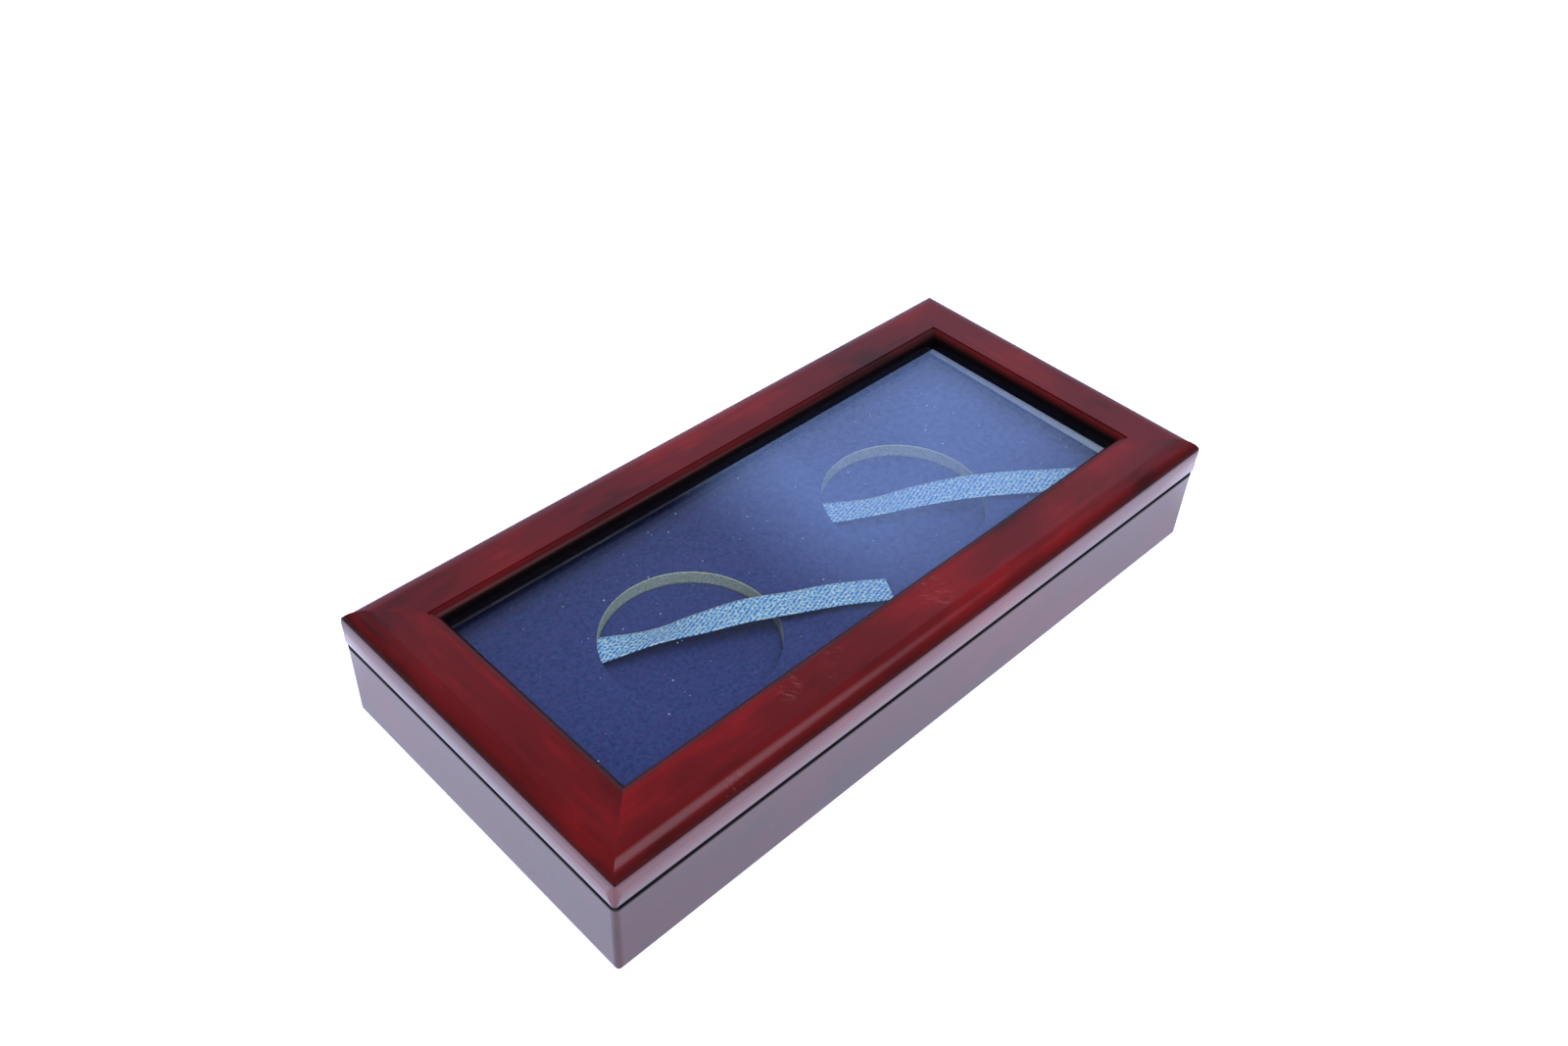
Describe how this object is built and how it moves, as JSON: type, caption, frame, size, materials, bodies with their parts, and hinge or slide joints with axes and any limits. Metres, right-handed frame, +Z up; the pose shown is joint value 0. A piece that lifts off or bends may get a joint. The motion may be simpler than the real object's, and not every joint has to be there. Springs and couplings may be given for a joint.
{
  "type": "coin display box",
  "caption": "Shallow rectangular lacquered wooden box with a hinged glass-topped lid and a velvet insert with round coin recesses and lift-out ribbons.",
  "frame": {"origin": "centre of the base's rectangular underside, on the surface that the box stands on", "axes": "+X along the length to the right as seen from the front, +Y to the hinged back, +Z up"},
  "size_m": [0.201, 0.1011, 0.0324],
  "materials": {
    "lacquered_wood": "gloss",
    "panel_board": "matte",
    "felt": "matte",
    "foam": "matte",
    "velvet": "matte",
    "satin_ribbon": "satin",
    "glass": "polished",
    "strip": "matte",
    "magnet": "satin",
    "brass": "satin"
  },
  "bodies": {
    "base": {"base_front_wall": "lacquered_wood", "base_back_wall": "lacquered_wood", "base_left_wall": "lacquered_wood", "base_right_wall": "lacquered_wood", "base_bottom_panel": "panel_board", "bottom_felt": "felt", "insert_lower_foam": "foam", "insert_floor_velvet": "velvet", "insert_upper_foam": "foam", "insert_top_velvet": "velvet", "left_ribbon": "satin_ribbon", "right_ribbon": "satin_ribbon", "left_hinge_base_leaf": "brass", "right_hinge_base_leaf": "brass", "hinge_pins": "brass", "base_hinge_screws": "brass", "base_magnets": "magnet"},
    "lid": {"lid_front_rail": "lacquered_wood", "lid_back_rail": "lacquered_wood", "lid_left_rail": "lacquered_wood", "lid_right_rail": "lacquered_wood", "window_glass": "glass", "front_glass_strip": "strip", "back_glass_strip": "strip", "left_glass_strip": "strip", "right_glass_strip": "strip", "left_hinge_lid_leaf": "brass", "right_hinge_lid_leaf": "brass", "lid_hinge_screws": "brass", "lid_magnets": "magnet"}
  },
  "joints": [
    {"name": "lid_hinge", "type": "hinge", "parent": "base", "child": "lid", "pos_m": [0, 0.0503, 0.02185], "axis": [-1, 0, 0], "range_deg": [0, 100]}
  ]
}
